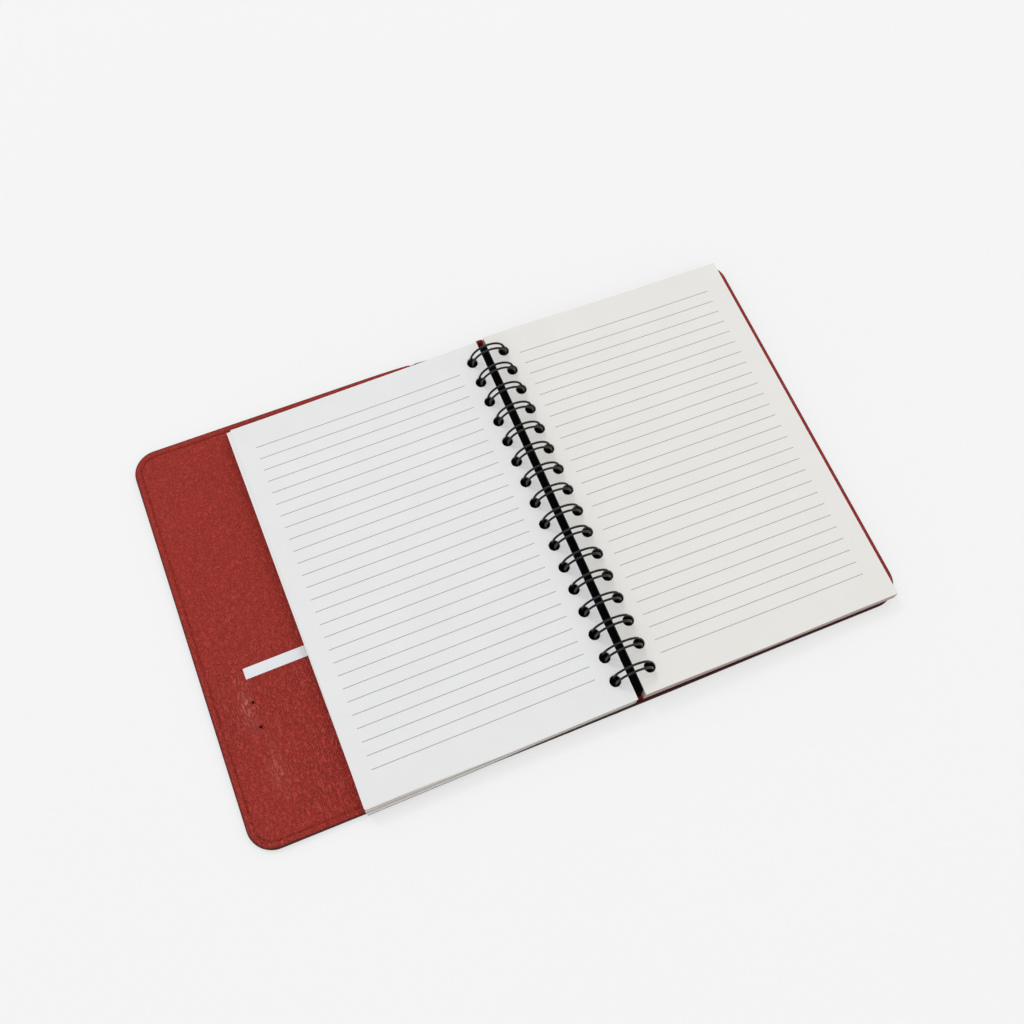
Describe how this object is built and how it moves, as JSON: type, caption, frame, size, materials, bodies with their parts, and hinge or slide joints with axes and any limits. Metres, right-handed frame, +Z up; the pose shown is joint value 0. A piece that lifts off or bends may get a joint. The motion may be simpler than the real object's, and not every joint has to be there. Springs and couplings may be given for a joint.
{
  "type": "spiral notebook",
  "caption": "Open twin-loop wire notebook in a soft red leather cover with a white tab, ruled pages on both sides of the wire.",
  "frame": {"origin": "middle of the open notebook's bounding box, on the surface it lies on", "axes": "+X to the right across both pages, +Y to the notebook's top edge, +Z up from the table"},
  "size_m": [0.3464, 0.2215, 0.0237],
  "materials": {
    "cover_leather": "grained, low sheen",
    "lining_leather": "grained, low sheen",
    "cover_board": "plain grey board",
    "strap_elastic": "black woven elastic",
    "wire_black": "black, glossy",
    "divider_card": "uncoated card",
    "tab_ribbon": "white ribbon",
    "page_paper": "uncoated, ruled"
  },
  "bodies": {
    "back_half": {"back_skin": "cover_leather", "back_board": "cover_board", "back_lining": "lining_leather", "gutter_strap": "strap_elastic", "wire_binding": "wire_black", "back_card": "divider_card", "right_pages": "page_paper"},
    "spine": {"spine_skin": "cover_leather", "spine_board": "cover_board", "spine_lining": "lining_leather"},
    "front_cover": {"front_skin": "cover_leather", "front_board": "cover_board", "front_lining": "lining_leather", "white_tab": "tab_ribbon"},
    "turning_pages": {"front_card": "divider_card", "left_pages": "page_paper"}
  },
  "joints": [
    {"name": "spine_fold", "type": "hinge", "parent": "back_half", "child": "spine", "pos_m": [0.0119, 0, 0.001], "axis": [0, 1, 0], "range_deg": [0, 90]},
    {"name": "front_fold", "type": "hinge", "parent": "spine", "child": "front_cover", "pos_m": [-0.0141, 0, 0.001], "axis": [0, 1, 0], "range_deg": [0, 93]},
    {"name": "page_turn", "type": "hinge", "parent": "back_half", "child": "turning_pages", "pos_m": [0.025, 0, 0.01342], "axis": [0, 1, 0], "range_deg": [0, 183]}
  ],
  "couplings": [
    {"joint": "front_fold", "follows": "spine_fold", "ratio": 1.0333},
    {"joint": "page_turn", "follows": "spine_fold", "ratio": 2.0333}
  ]
}
